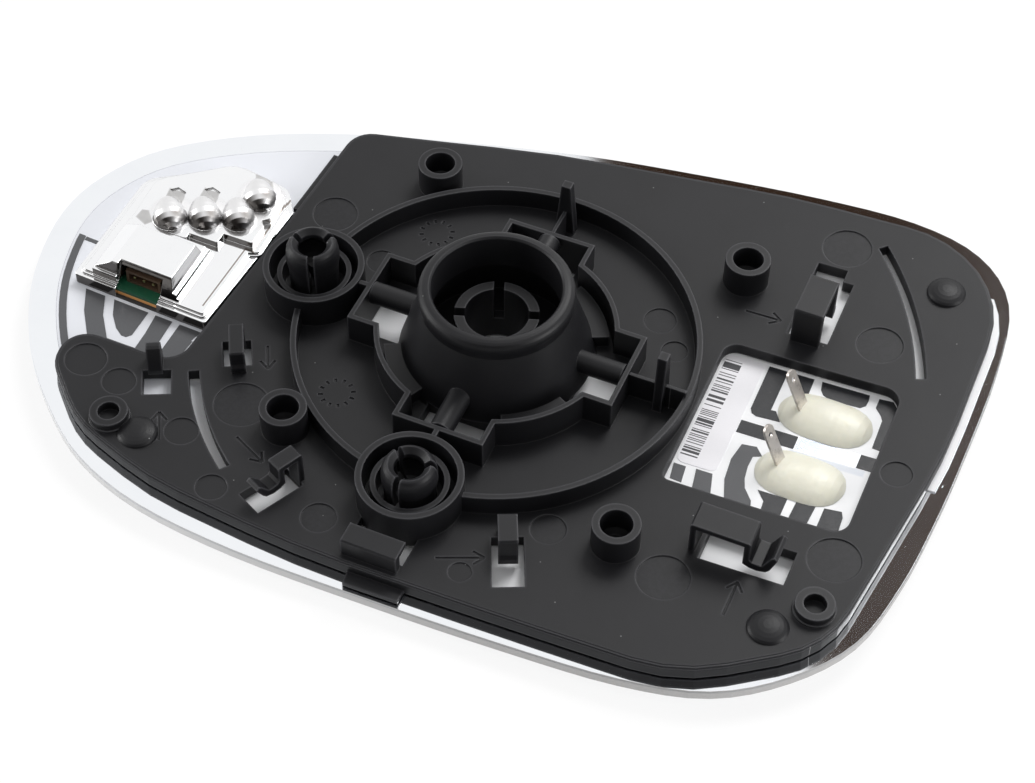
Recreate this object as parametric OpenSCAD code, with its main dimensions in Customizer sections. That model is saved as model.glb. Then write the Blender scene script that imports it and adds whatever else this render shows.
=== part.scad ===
// Heated door mirror glass for the right-hand side of a car, seen from its back.
// The convex glass lies face down. A moulded backing plate is bonded to it over a heater foil,
// and a turn signal module sits beside the plate on the bare end of the glass.
// Origin: the pivot axis, on the back surface of the plate. X and Y point along the
// socket's four arms, Z points out of the back of the plate.

/* [Glass] */
// Radius of the convex mirror face
mirror_r = 1250; // [900:10:2000]
// Thickness of the glass
glass_t = 2.2; // [1.6:0.1:3]
// How far the ground edge is chamfered
glass_chamfer = 0.4; // [0.2:0.1:0.7]

/* [Heater foil] */
// Thickness of the heater foil
film_t = 0.3; // [0.2:0.05:0.5]
// Distance from the edge of the glass to the edge of the foil
film_inset = 5.5; // [4:0.5:7]
// Thickness of the printed heating track
track_t = 0.1; // [0.08:0.01:0.15]
// Thickness of the foam pad between foil and plate
pad_t = 0.5; // [0.3:0.1:1]

/* [Backing plate] */
// Wall of the plate
plate_t = 2.6; // [2:0.1:3.5]
// Width of the skirt that goes down around the pad
skirt_w = 1.6; // [1.2:0.1:2.4]
// Gap between the skirt and the foil
skirt_gap = 0.1; // [0.05:0.05:0.2]
// Radius of the rounded top edge of the plate
edge_r = 0.9; // [0.6:0.1:1.2]
// Depth of the round ejector marks and engraved arrows
mark_d = 0.25; // [0.15:0.05:0.5]

/* [Pivot socket] */
// Radius of the bore that takes the ball of the adjuster
pivot_bore_r = 12.7; // [11:0.1:13.5]
// Radius of the rim around that bore
pivot_rim_r = 15.3; // [14.5:0.1:16.5]
// Radius of the socket where it meets the plate
pivot_base_r = 19.6; // [18.5:0.1:20.5]
// Height of the socket above the plate
pivot_h = 19; // [16:0.5:22]
// Bore of the slotted ring inside the socket
snap_bore_r = 6.3; // [5.5:0.1:6.8]
// Wall of that slotted ring
snap_wall = 2.1; // [1.6:0.1:2.4]
// Height of the slotted ring
snap_h = 11; // [9:0.5:13]

/* [Pocket wall] */
// Radius of the round parts of the wall around the socket
wall_r = 24.1; // [23.5:0.1:25.5]
// Distance from the pivot to the flat end of each pocket
pocket_reach = 28; // [27:0.2:29]
// Width of each pocket
pocket_w = 18.8; // [16:0.2:20]
// Thickness of the wall
wall_t = 1; // [0.8:0.1:1.6]
// Height of the wall
wall_h = 7; // [5.8:0.2:8]
// Outer radius of the half-round arms that bridge the pockets
arm_r = 2.3; // [2:0.1:2.8]

/* [Jackscrew cups] */
// Distance from the pivot to each jackscrew
jack_pitch = 40; // [39:0.5:42]
// Outer radius of a cup
cup_r = 10.2; // [9.8:0.1:10.6]
// Wall of a cup
cup_wall = 1.3; // [1:0.1:1.6]
// Height of a cup
cup_h = 7.6; // [6.6:0.2:9]
// Radius of the mouth that the ball of the jackscrew snaps through
jack_mouth_r = 2.9; // [2.6:0.1:3.2]
// Radius of the cavity that holds the ball
jack_ball_r = 3.9; // [3.6:0.1:4.1]
// Outer radius of the slotted socket
jack_socket_r = 5.4; // [5.2:0.1:5.8]
// Height of the slotted socket in the left cup
left_socket_h = 14; // [12:0.5:15]
// Height of the slotted socket in the lower cup
lower_socket_h = 11; // [10:0.5:13]

/* [Ring rib and bosses] */
// Inner radius of the big ring rib
ring_r = 39.3; // [38.6:0.1:40]
// Thickness of the ring rib
ring_t = 1.2; // [1:0.1:1.6]
// Height of the ring rib
ring_h = 5.2; // [4:0.2:6.4]
// Outer radius of the four tubular bosses
boss_r = 4.6; // [4.2:0.1:5]
// Bore of the four tubular bosses
boss_bore_r = 3.1; // [2.6:0.1:3.4]
// Height of the bosses
boss_h = 6.2; // [4:0.2:7]
// Height of the two tall stop fins
fin_h = 13.4; // [10:0.2:15]

/* [Terminals] */
// Width of a spade terminal
blade_w = 2.8; // [2.4:0.1:3.2]
// Thickness of the terminal strip
blade_t = 0.5; // [0.4:0.1:0.8]
// Length of the blade above its foot
blade_len = 11.1; // [9:0.1:13]
// Angle that the blades lean over
blade_lean = 23; // [0:1:26]

/* [Turn signal] */
// Height of the flange of the signal housing above the foil
flange_h = 3; // [2.6:0.1:3.6]
// Height of the connector hood above the flange
hood_h = 5; // [4:0.2:6]
// Wall of the signal housing
shell_t = 0.8; // [0.6:0.1:1]
// Radius of a reflector bowl
bowl_r = 3.6; // [3.2:0.1:3.8]
// Length of a reflector bowl
bowl_l = 9; // [8:0.2:9.6]
// Thickness of the circuit board
board_t = 0.8; // [0.6:0.1:1]

/* [Hidden] */
$fn = 64;
ball_fn = 360;
// Where the bore of the pivot socket starts to widen towards the plate
bore_low = snap_h + 0.2;
// The openings in the pockets: where they start, seen from the pivot, and their width
pocket_in = pivot_base_r - 1.8;
pocket_open = pocket_w - 5.8;

stack_t = plate_t + pad_t + film_t + glass_t;
face_r = mirror_r - stack_t;
film_top = -plate_t - pad_t;
glass_top = film_top - film_t;

// Edge of the glass, as knots of a smooth closed curve
glass_knots = [[92.5, 10], [92.6, 34], [90, 52], [81, 62.5], [66, 67], [45, 66.8], [20, 64], [-5, 59.8],
    [-30, 53.2], [-53, 45.3], [-72.5, 35.6], [-88, 23.3], [-95.7, 10.5], [-98, -2], [-95.7, -15.5],
    [-91, -27], [-83.3, -38.5], [-73.5, -48.2], [-62.3, -56], [-47, -61], [-26, -62.9], [0, -62.6],
    [28, -61.8], [50, -60.5], [66, -56.8], [78, -48.4], [86.5, -37], [90.2, -22], [91.8, -6]];
// Corners of the plate: x, y and the radius that rounds each
plate_corners = [[89.2, 8, 150], [89.3, 62.8, 24], [40, 62.3, 150], [-10, 55.2, 200], [-52, 43.2, 6],
    [-55.9, -29.3, 5], [-78.6, -30, 5.5], [-77.5, -39.5, 8], [-66, -50.5, 25], [-47, -56.6, 60],
    [-15, -59.2, 200], [50, -57.9, 80], [60, -57.6, 30], [82.5, -42, 20]];
// Corners of the terminal window
window_corners = [[77.4, -17, 3], [77.4, 20, 3.5], [41.3, 20, 3], [41.3, -17, 1.5]];
// Corners of the signal housing's flange, its raised table and its connector hood
module_corners = [[-55.9, -17.8, 0.6], [-53.7, 16.5, 1], [-57.5, 22, 4], [-69.5, 23.6, 6],
    [-85.6, 11.3, 5], [-85.6, -17.8, 0.6]];

boss_x = [-29, 39.1];
boss_y = [-34.8, 36.7];
boss_places = [for (x = boss_x, y = boss_y) [x, y]];
small_boss_places = [[-60.2, -47.1], [77.5, -35.2]];
dome_places = [[-53.6, -48.2], [71.2, -42.1], [77.8, 47.6]];
recess_places = [[-71.7, -36.5, 4.1], [-63.2, -38.5, 3.3], [-46.4, -44.1, 3.3], [-39.2, -33.3, 5.4],
    [-34.8, -53.6, 3], [-45.4, 19.8, 4.6], [55.6, 52.2, 5], [69.5, 29.9, 4.6], [82, 0.2, 3],
    [77.4, -23.2, 5], [50, -38.6, 5], [26.5, -36.6, 3.4], [15.6, -52.1, 2.2], [-13.4, -51.5, 3.4],
    [27, 20, 3.2], [32.5, 13.5, 2.6], [-31, 12, 3]];
terminal_places = [[60.9, 10.3], [61.3, -4.3]];
signal_x = -70;
signal_y = 2;
// Tips of the reflector bowls, and the way that they run
reflector_places = [[-77.8, 6.6], [-71.5, 9.8], [-65.1, 12.6], [-63.7, 19.2]];
bowl_turn = -54;
// Middle and width of the mouth for the plug
mouth_x = -71.6;
mouth_w = 9.4;

function unit(v) = v / norm(v);
function turn_left(a, b, c) = (b.x - a.x) * (c.y - b.y) - (b.y - a.y) * (c.x - b.x) > 0;
function sag(x, y, r = face_r) = r - sqrt(r * r - x * x - y * y);
function xy(p) = [p.x, p.y];

// Points of one rounded corner of a path that runs anticlockwise, moved inwards by d
function rounded(a, b, c, r, d) =
    let (u = unit(a - b), v = unit(c - b), left = turn_left(a, b, c), half = acos(u * v) / 2,
        side = left ? 1 : -1, rr = max(r - side * d, 0.05), bisector = unit(u + v),
        corner = b + bisector * side * d / sin(half), centre = corner + bisector * rr / sin(half),
        middle = atan2(-bisector.y, -bisector.x), sweep = 90 - half,
        n = max(2, ceil(sweep / 6)))
    [for (i = [0:n]) let (t = middle + side * sweep * (2 * i / n - 1))
        centre + rr * [cos(t), sin(t)]];
// Closed path through corners [x, y, r], moved inwards by d
function rounded_path(c, d = 0) =
    let (n = len(c))
    [for (i = [0:n - 1]) each rounded(xy(c[(i + n - 1) % n]), xy(c[i]), xy(c[(i + 1) % n]), c[i][2], d)];
// Point of a smooth closed curve between knots b and c
function spline_point(a, b, c, d, t) =
    0.5 * (2 * b + (c - a) * t + (2 * a - 5 * b + 4 * c - d) * t * t + (3 * b - a - 3 * c + d) * t * t * t);
function spline(k, steps) =
    let (n = len(k))
    [for (i = [0:n - 1], s = [0:steps - 1])
        spline_point(k[(i + n - 1) % n], k[i], k[(i + 1) % n], k[(i + 2) % n], s / steps)];
// The same closed curve moved inwards by d
function moved_in(p, d) =
    let (n = len(p))
    [for (i = [0:n - 1]) let (t = unit(p[(i + 1) % n] - p[(i + n - 1) % n])) p[i] + d * [-t.y, t.x]];
function arc(r, a0, a1, n = 16) = [for (i = [0:n]) let (t = a0 + (a1 - a0) * i / n) r * [cos(t), sin(t)]];
function bezier(a, b, c, n = 10) = [for (i = [0:n]) let (t = i / n)
    (1 - t) * (1 - t) * a + 2 * t * (1 - t) * b + t * t * c];

glass_edge = spline(glass_knots, 4);

// A ball centred on the mirror's centre of curvature, whose surface lies h above the plate's back
module ball(h) translate([0, 0, face_r]) rotate([90, 0, 0]) sphere(face_r - h, $fn = ball_fn);
// What of the children lies between two heights above the plate's curved back
module layer(low, high) {
    intersection() {
        translate([0, 0, low - 2]) linear_extrude(high - low + 10) children();
        difference() {
            ball(low);
            ball(high);
        }
    }
}
// Places something upright on the plate's back
module on_plate(x, y) translate([x, y, sag(x, y)]) children();
// Places something square to the curved surface at height h, with its own X and Y kept
module on_surface(x, y, h) {
    reach = norm([x, y]);
    translate([x, y, sag(x, y) + h]) rotate(a = asin(reach / face_r), v = [y, -x, 0]) children();
}
module ring(outer, inner) difference() {
    circle(outer);
    circle(inner);
}
module band(r0, r1, a0, a1) polygon(concat(arc(r1, a0, a1), arc(r0, a1, a0)));
module bar(length, width) translate([-length / 2, -width / 2]) square([length, width]);
module tube(outer, inner, low, high) translate([0, 0, low]) difference() {
    cylinder(r = outer, h = high - low);
    translate([0, 0, -1]) cylinder(r = inner, h = high - low + 2);
}

// The glass, with its ground edge chamfered on the back
module mirror_glass() color("lightcyan") {
    layer(glass_top - glass_t, glass_top - glass_chamfer) polygon(glass_edge);
    layer(glass_top - glass_chamfer, glass_top) polygon(moved_in(glass_edge, glass_chamfer / 2));
}

// Plan of the foil, with the tab that shows beside the plate and the opening under the signal
module foil_plan() difference() {
    union() {
        polygon(moved_in(glass_edge, film_inset));
        intersection() {
            polygon(rounded_path(plate_corners, -1.5));
            translate([70, 1]) square([25, 51]);
        }
    }
    polygon(rounded_path(module_corners, 3));
}
module heater_foil() color("white") layer(glass_top, film_top) foil_plan();

// Printed heating fields, where the signal end and the terminal window show them
module track_plan() {
    track_edge = moved_in(glass_edge, film_inset + 0.6);
    inner_edge = moved_in(glass_edge, film_inset + 2.1);
    intersection() {
        difference() {
            polygon(track_edge);
            polygon(inner_edge);
        }
        translate([-100, -70]) square([140, 64]);
    }
    translate([-89.8, -7]) square([2.7, 0.9]);
    difference() {
        polygon([[-82.8, -18.4], [-80.2, -23.6], [-76.2, -29.2], [-60, -28.4], [-57.4, -26], [-56.7, -18.4]]);
        polygon([[-78.6, -18], [-76.2, -23], [-72.5, -27.9], [-66.3, -27.7], [-66.4, -23.4], [-66.9, -18],
            [-68.5, -18], [-68.5, -25], [-69.3, -26], [-70.4, -26], [-72.2, -24.8], [-74.5, -22.1],
            [-76.5, -18]]);
        polygon([[-63.1, -18], [-62.8, -25.1], [-63.4, -30], [-61.8, -30], [-61.4, -25.6], [-61.4, -18]]);
        polygon([[-57.3, -21.2], [-56.9, -19.4], [-56.4, -21.2]]);
    }
    window_fields();
}
// Fields around the two terminals
module window_fields() {
    polygon([[50.6, 19.4], [50.7, 7.9], [51.3, 6.8], [52.3, 6.4], [57.1, 6.7], [55.5, 9], [54.5, 8.9],
        [54.5, 19.4]]);
    polygon([[56.1, 19.4], [56.5, 16.8], [58.7, 14.5], [60, 15], [59.9, 19.4]]);
    polygon([[61.5, 19.4], [61.9, 17.3], [62.7, 16.2], [64.3, 15.5], [70.4, 15.7], [71.3, 16.6],
        [71.4, 18], [71.2, 19.4]]);
    polygon([[73.2, 19.2], [73.2, 16.8], [74.7, 15.2], [75.3, 14.1], [75.5, 7], [77.2, 6.8], [77.2, 18],
        [76, 19.4]]);
    translate([50, 1.3]) square([11.6, 3.2]);
    translate([74.1, 1.3]) square([3.1, 3.4]);
    polygon([[41.6, -10.4], [44.1, -10.4], [44.6, -14.4], [42.2, -14.2]]);
    polygon([[46.1, -10.2], [49.4, -10.2], [51.2, -16.8], [47.3, -16.8]]);
    polygon([[52.1, -1.2], [55, -0.8], [56.7, -2.6], [55.1, -3.3], [55, -5.9], [55.4, -8.9], [56.2, -11.1],
        [58.3, -13.6], [59.2, -16.8], [54, -16.8], [51.9, -10.5], [51.4, -5.4]]);
    polygon([[58.6, -10.6], [60.5, -12.8], [60.8, -16.8], [64.5, -16.8], [64.5, -10.6]]);
    polygon([[66.3, -10.2], [66, -16.8], [69.6, -16.8], [70, -10.2]]);
    polygon([[71.6, -10.2], [71.6, -16.8], [75.8, -16], [75.5, -11.1], [74.9, -9.8]]);
}
module heater_track() color("dimgray") layer(film_top, film_top + track_t) track_plan();

// Foam pad, open where the plate is open
module foam_pad() color("whitesmoke") layer(film_top, -plate_t) difference() {
    polygon(rounded_path(plate_corners, skirt_w + 0.2));
    plate_openings(0.5);
    difference() {
        polygon(moved_in(glass_edge, film_inset + 0.5));
        polygon(moved_in(glass_edge, film_inset + 4.5));
        translate([-100, -5.5]) square([200, 90]);
        translate([40, -70]) square([60, 80]);
    }
}

// Everything that goes right through the plate, in plan, widened by a margin
module plate_openings(margin = 0) {
    circle(snap_bore_r + margin);
    polygon(rounded_path(window_corners, -margin));
    for (a = [0:90:270]) rotate(a) translate([(pocket_reach - wall_t + pocket_in) / 2, 0])
        bar(pocket_reach - wall_t - pocket_in + 2 * margin, pocket_open + 2 * margin);
    band(58.5 - margin, 60.6 + margin, 210, 234.2);
    band(82.2 - margin, 84.2 + margin, 17, 41.5);
    for (c = clips) translate([c[0], c[1]]) rotate(c[2]) bar(c[3] + 2 * margin, c[4] + 2 * margin);
    difference() {
        translate([-6.2 - margin, -55.2 - margin]) square([11.7 + 2 * margin, 7 + margin]);
        translate([0, -jack_pitch]) circle(cup_r - 0.6);
    }
}
// Windows under the wire clips: x, y, turn, width, length
clips = [[-56.6, -35.5, 28, 5.5, 6.1], [-46.1, -22.2, 29.5, 5.6, 6.4], [-24.4, -49.3, 64.6, 10.6, 5.8],
    [22.7, -46.5, 24.6, 6, 11.4], [62.4, -28.1, 0, 16.5, 7.9], [54.5, 36.4, 0, 6.2, 20.1],
    [58.7, 34.8, 0, 2.3, 16.8]];

// Shallow marks in the plate's back: ejector pins, arrows, and the dots of two date dials
module plate_marks() {
    for (p = recess_places) translate([p.x, p.y]) circle(p[2], $fn = 40);
    for (a = arrows) translate([a[0], a[1]]) rotate(a[2]) arrow(a[3]);
    for (d = [[-24, 23.8], [-23.9, -22.9]], a = [0:30:330])
        translate(d) rotate(a) translate([3.2, 0]) bar(0.9, 0.5);
}
arrows = [[-50.8, -44.9, 118, 7], [-40.2, -20.5, -62, 6], [-32.6, -42.5, -25, 8], [14.3, -49.2, 24, 9],
    [62.8, -38.4, 90, 8], [45.6, 28.9, 0, 7.5]];
module arrow(length) {
    bar(length, 0.5);
    for (s = [-1, 1]) translate([length / 2, 0]) rotate(180 + 35 * s) translate([1.3, 0]) bar(2.6, 0.5);
}

// The plate itself: a curved slab with a rounded top edge and a skirt
module plate_slab() {
    steps = 3;
    difference() {
        union() {
            layer(-plate_t, -edge_r) plate_plan(0);
            for (i = [1:steps]) let (a = 90 * i / steps, b = 90 * (i - 1) / steps)
                layer(-edge_r * (1 - sin(b)), -edge_r * (1 - sin(a)))
                    plate_plan(edge_r * (1 - cos((a + b) / 2)));
            layer(film_top + skirt_gap, -plate_t) difference() {
                plate_plan(0);
                polygon(rounded_path(plate_corners, skirt_w));
            }
        }
        layer(-mark_d, 1) plate_marks();
    }
}
module plate_plan(d) difference() {
    polygon(rounded_path(plate_corners, d));
    plate_openings();
}

// Pivot socket: a flared dome with a deep bore, and a slotted ring standing in it
module pivot_socket() {
    difference() {
        rotate_extrude() polygon(concat([[pivot_base_r - 3, -1], [pivot_base_r + 0.6, -1]],
            bezier([pivot_base_r, 0.5], [pivot_base_r - 2.6, 9], [pivot_rim_r - 0.3, pivot_h - 4.2]),
            bezier([pivot_rim_r, pivot_h - 2.2], [pivot_rim_r, pivot_h], [pivot_bore_r + 0.4, pivot_h], 6),
            [[pivot_bore_r, pivot_h - 0.4], [pivot_bore_r, bore_low], [pivot_base_r - 3, 0.5]]));
        for (a = [0:90:270]) rotate(a) translate([pocket_in, -pocket_open / 2, -2])
            cube([4, pocket_open, 3]);
    }
    difference() {
        tube(snap_bore_r + snap_wall, snap_bore_r, -1, snap_h);
        for (a = [20:90:290]) rotate(a) translate([0, -1, 2.5]) cube([snap_bore_r + snap_wall + 1, 2, snap_h]);
    }
    for (a = [45:90:315]) rotate(a) translate([0, 0, -1]) linear_extrude(4)
        band(pivot_base_r - 1, wall_r - wall_t - 0.8, -19, 19);
}
// Wall with four square pockets around the socket
module pocket_plan(d) {
    circle(wall_r - d);
    for (a = [0, 90]) rotate(a) bar(2 * (pocket_reach - d), pocket_w - 2 * d);
}
module pocket_wall() translate([0, 0, -1]) linear_extrude(wall_h + 1) difference() {
    pocket_plan(0);
    pocket_plan(wall_t);
}
// Half-round arm that bridges a pocket from the socket to the wall
module arm() {
    length = pocket_reach - wall_t - 0.2 - pivot_bore_r - 3;
    translate([pivot_bore_r + 3, 0, wall_h + 0.4 - arm_r]) intersection() {
        rotate([0, 90, 0]) difference() {
            cylinder(r = arm_r, h = length);
            translate([0, 0, 5]) cylinder(r = arm_r - 0.9, h = length);
        }
        translate([0, -arm_r, -1]) cube([length, 2 * arm_r, arm_r + 2]);
    }
}
// Cup with a lip ring and a slotted socket for the ball of a jackscrew
module jack_cup(socket_h, turn) {
    tube(cup_r, cup_r - cup_wall, -1.5, cup_h - sag(jack_pitch, 0));
    tube(7.5, 6.4, -1.5, cup_h - 2.6);
    top = socket_h - sag(jack_pitch, 0);
    throat = sqrt(jack_ball_r * jack_ball_r - jack_mouth_r * jack_mouth_r);
    middle = top - 2 - throat;
    difference() {
        rotate_extrude() polygon(concat([[0, -1.5], [jack_socket_r - 0.5, -1.5], [jack_socket_r - 0.4, top - 6.5]],
            bezier([jack_socket_r - 0.1, top - 4.5], [jack_socket_r + 0.2, top - 0.6], [jack_socket_r - 1.4, top], 6),
            [[jack_mouth_r + 0.9, top - 0.2], [jack_mouth_r, top - 1], [jack_mouth_r, middle + throat]],
            [for (a = [asin(throat / jack_ball_r) - 10:-15:-90])
                [jack_ball_r * cos(a), middle + jack_ball_r * sin(a)]],
            [[0, middle - jack_ball_r]]));
        translate([0, 0, 2]) cylinder(r = 1, h = middle - 2);
        for (a = [turn:120:turn + 240]) rotate(a) translate([0, -0.6, 2]) cube([cup_r, 1.2, top]);
    }
}
module ring_rib() translate([0, 0, -1]) linear_extrude(ring_h + 1) difference() {
    ring(ring_r + ring_t, ring_r);
    for (p = jack_places) translate(p) circle(cup_r - cup_wall / 2);
}
jack_places = [[-jack_pitch, 0], [0, -jack_pitch]];
// Ribs on the axes: short bridges to the cups, and longer ones with a tall stop fin
module axis_ribs() for (a = [0, 90]) rotate(a) {
    translate([pocket_reach - 0.4, -0.35, -1]) cube([ring_r - pocket_reach + 0.8, 0.7, wall_h + 0.4]);
    translate([-jack_pitch + cup_r - 0.4, -0.5, -1]) cube([jack_pitch - cup_r - pocket_reach + 0.8, 1, wall_h + 1]);
    top = a == 0 ? fin_h + 1.2 : fin_h;
    translate([a == 0 ? 34.6 : 35.8, 0, 0]) rotate([90, 0, 90]) translate([0, 0, -0.95]) linear_extrude(1.9)
        polygon([[-2.2, -0.5], [2.2, -0.5], [1, top], [-1, top]]);
}
module bosses() for (p = boss_places) {
    on_plate(p.x, p.y) {
        tube(boss_r, boss_bore_r, -1.5, boss_h);
        // The bore ends in a chamfer, above the curve of the plate
        rotate_extrude() polygon([[boss_bore_r + 0.6, -1], [boss_bore_r + 0.6, 0.95], [boss_bore_r, 0.95],
            [boss_bore_r - 1.1, -0.15], [boss_bore_r - 1.1, -1]]);
    }
    if (p.x < 0 && p.y < 0) rotate(atan2(p.y, p.x)) translate([ring_r + ring_t / 2, -0.8, -1])
        cube([norm(p) - boss_r - ring_r, 1.6, ring_h]);
}
module small_bosses() {
    for (p = small_boss_places) on_plate(p.x, p.y) {
        tube(3.7, 2.1, -1, 2);
        tube(4, 3.5, -1, 0.5);
    }
    for (p = dome_places) on_plate(p.x, p.y) rotate_extrude()
        polygon(concat([[0, -1], [3.9, -1]], [for (a = [0:15:90]) [3.9 * cos(a), 1.5 * sin(a)]]));
}
// Wire clip: a post, a strap that ends in a leg, and a curl that opens outwards if asked for.
// It starts at its own origin and runs along X; the leg ends at height low.
module wire_clip(length, width, height, low, curl = false) {
    t = 1.2;
    rotate([90, 0, 0]) translate([0, 0, -width / 2]) linear_extrude(width)
        polygon(concat([[0, -1], [0, height - 0.3], [0.3, height], [length - 0.3, height], [length, height - 0.3]],
            curl ? [[length, low + 1.6], [length + 0.5, low + 1], [length + 2.4, low + 0.9],
                [length + 4, height - 2], [length + 4.5, height - 1.6], [length + 5.2, height - 2.1],
                [length + 4, low + 0.6], [length + 3.3, low - 0.3], [length + 1.6, low - 0.8], [length, low - 0.6]]
            : [[length, low + 2.6], [length + 0.5, low + 1.9], [length + 0.5, low + 0.8], [length, low]],
            [[length - t, low], [length - t, height - t], [t, height - t], [t, -1]]));
}
module at_clip(x, y, turn) on_plate(x, y) rotate(turn) children();
module wire_clips() {
    at_clip(-58.2, -33.2, -62.5) rotate([90, 0, 0]) translate([0, 0, -1.45]) linear_extrude(2.9)
        polygon([[0, -1], [0, 0], [-1.9, 4.4], [-2.5, 4.7], [-3.4, 4.7], [-4, -1]]);
    at_clip(-47.4, -19.3, -61) wire_clip(7.9, 2.9, 5.4, -0.4);
    at_clip(-21.3, -43.8, 244.6) wire_clip(5.5, 3.2, 7.6, 2.6, true);
    at_clip(19.7, -39.9, -65) wire_clip(6.5, 3.7, 5.5, -1.5);
    at_clip(51.9, -28.2, 0) wire_clip(11.6, 5.7, 8, 1.8, true);
    at_clip(55.5, 24.8, 90) wire_clip(10.4, 5.9, 9, -0.6);
    at_clip(-0.4, -57.2, 90) rotate([90, 0, 0]) translate([0, 0, -5.6]) linear_extrude(11.2)
        polygon([[0, -1], [0, 3.8], [0.3, 4.1], [4.4, 4.1], [4.4, 3], [1.6, 3], [1.6, -1]]);
}
// Ledge beside the signal, and the tab that lies on the lower edge of the glass
module edge_parts() {
    layer(-plate_t, -1.4) polygon([[-53.2, 18.6], [-52.4, 36], [-53.8, 36], [-54.7, 18.6]]);
    layer(film_top + skirt_gap, -plate_t + 0.4) polygon([[-4.2, -57.6], [7.4, -57.3], [7.4, -61.5], [-3.6, -61.8]]);
}
module backing_plate() color([0.13, 0.13, 0.14]) {
        plate_slab();
        pivot_socket();
        pocket_wall();
        for (a = [0:90:270]) rotate(a) arm();
        ring_rib();
        translate([-jack_pitch, 0, sag(jack_pitch, 0)]) jack_cup(left_socket_h, -67);
        translate([0, -jack_pitch, sag(jack_pitch, 0)]) jack_cup(lower_socket_h, -95);
        axis_ribs();
        bosses();
        small_bosses();
        wire_clips();
        edge_parts();
}

// Paper label on the foil, bare but for a row of bars
module data_label() color("white") layer(film_top, film_top + 0.12)
    polygon(rounded_path([[49.8, -9.7, 1.4], [49.8, 19.4, 1.4], [41.7, 19.4, 1.4], [41.7, -9.7, 1.4]]));

// Spade terminal: a foot under the sealant and a blade with a hole
module terminal() color("silver") {
    translate([0, -blade_w / 2, 0]) cube([4.6, blade_w, blade_t]);
    rotate([0, -blade_lean, 0]) difference() {
        union() {
            translate([0, -blade_w / 2, 0]) cube([blade_t, blade_w, blade_len - blade_w / 2]);
            translate([0, 0, blade_len - blade_w / 2]) rotate([0, 90, 0]) cylinder(r = blade_w / 2, h = blade_t);
        }
        translate([-1, 0, blade_len - 2.2]) rotate([0, 90, 0]) cylinder(r = 0.6, h = 3);
    }
}
module at_terminal(i) on_surface(terminal_places[i].x, terminal_places[i].y, film_top + track_t + 0.05)
    rotate(-12) children();
module terminal_upper() at_terminal(0) terminal();
module terminal_lower() at_terminal(1) terminal();
module rivet() translate([3, 0, 0]) cylinder(r = 0.9, h = blade_t + 0.4);
module terminal_rivets() color("goldenrod") for (i = [0, 1]) at_terminal(i) rivet();
// Blob of sealant over the foot of a terminal: a body of revolution that lies on the foil
module sealant(i, x, y, length, width, height) color([0.93, 0.91, 0.82]) {
    r = (width * width / 4 + height * height) / (2 * height);
    half = length / 2 / 0.84;
    difference() {
        on_surface(x, y, film_top) rotate(-3) intersection() {
            translate([-half, 0, height - r]) rotate([0, 90, 0]) rotate_extrude()
                polygon(concat([[0, 0]], [for (t = [-0.96:0.12:0.96]) [r * pow(1 - pow(abs(t), 3.2), 0.5),
                    half * (1 + t)]], [[0, 2 * half]]));
            // Its flat underside clears the curve of the foil
            translate([-half, -width, track_t + 0.05]) cube([2 * half, 2 * width, height]);
        }
        at_terminal(i) {
            terminal();
            rivet();
        }
    }
}
module sealant_upper() sealant(0, 65.1, 10.2, 19.2, 11.2, 2.6);
module sealant_lower() sealant(1, 65.1, -5, 18.4, 11.6, 2.6);

// The turn signal is flat and lies square on the glass at its own middle
module at_signal() on_surface(signal_x, signal_y, film_top) translate([-signal_x, -signal_y, 0]) children();
gasket_t = 0.35;
lens_low = gasket_t + 0.25;
lens_t = 0.7;
board_low = lens_low + lens_t + 0.1;
module signal_plan(d) polygon(rounded_path(module_corners, d));
// Heights of the housing's table, of the platform that carries the bowls, and of the hood, above the foil
table_z = flange_h + 0.8;
platform_z = table_z + 1.5;
hood_z = flange_h + hood_h;
// One reflector bowl: an egg that lies on its side and runs from its tip towards the pivot
module bowl(d) translate([0, 0, platform_z + 0.5]) rotate([0, 94, bowl_turn]) translate([0, 0, d]) rotate_extrude($fn = 36)
    let (r = bowl_r - d, l = bowl_l - 2 * d)
        polygon(concat(bezier([0, 0], [r * 0.72, l * 0.1], [r, l * 0.6], 5),
            [for (a = [18:18:90]) [r * cos(a), l * (0.6 + 0.4 * sin(a))]]));
module bowls(d) for (p = reflector_places) translate([p.x, p.y, 0]) bowl(d);
module table_plan(d) polygon(rounded_path([[-57, -16.4, 0.5], [-56.6, 2, 0.5], [-54.7, 3, 0.5], [-55, 15.6, 1],
    [-58.4, 20.8, 4], [-69.8, 22.2, 5], [-84.2, 10.9, 4], [-84.2, -16.4, 0.5]], d));
module platform_plan(d) polygon(rounded_path([[-81.6, -1.9, 1], [-69.1, -1.3, 0.6], [-69.1, 0.3, 0.3],
    [-62.8, 0.5, 0.4], [-62.8, 3.2, 0.3], [-56.4, 3.5, 0.4], [-56.4, 8.7, 0.4], [-57.6, 9.8, 0.3],
    [-56.2, 11.2, 0.5], [-56.4, 16.6, 1], [-58.8, 20.6, 3], [-69.7, 21.4, 5], [-82.4, 10.4, 4]], d));
// Hood over the plug: its outline seen from the front, with a slope on the left and steps on the right
module hood_front(d) polygon([[-82.2 + d, 0], [-82 + d, 5.1 - d], [-77.9 + d, hood_z - d], [-65.1 - d, hood_z - d],
    [-64.4 - d, table_z + 1.3 - d], [-63.5 - d, table_z + 1.2 - d], [-63.3 - d, table_z + 0.6 - d],
    [-62.7 - d, table_z + 0.5 - d], [-62.6 - d, 0]]);
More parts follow.
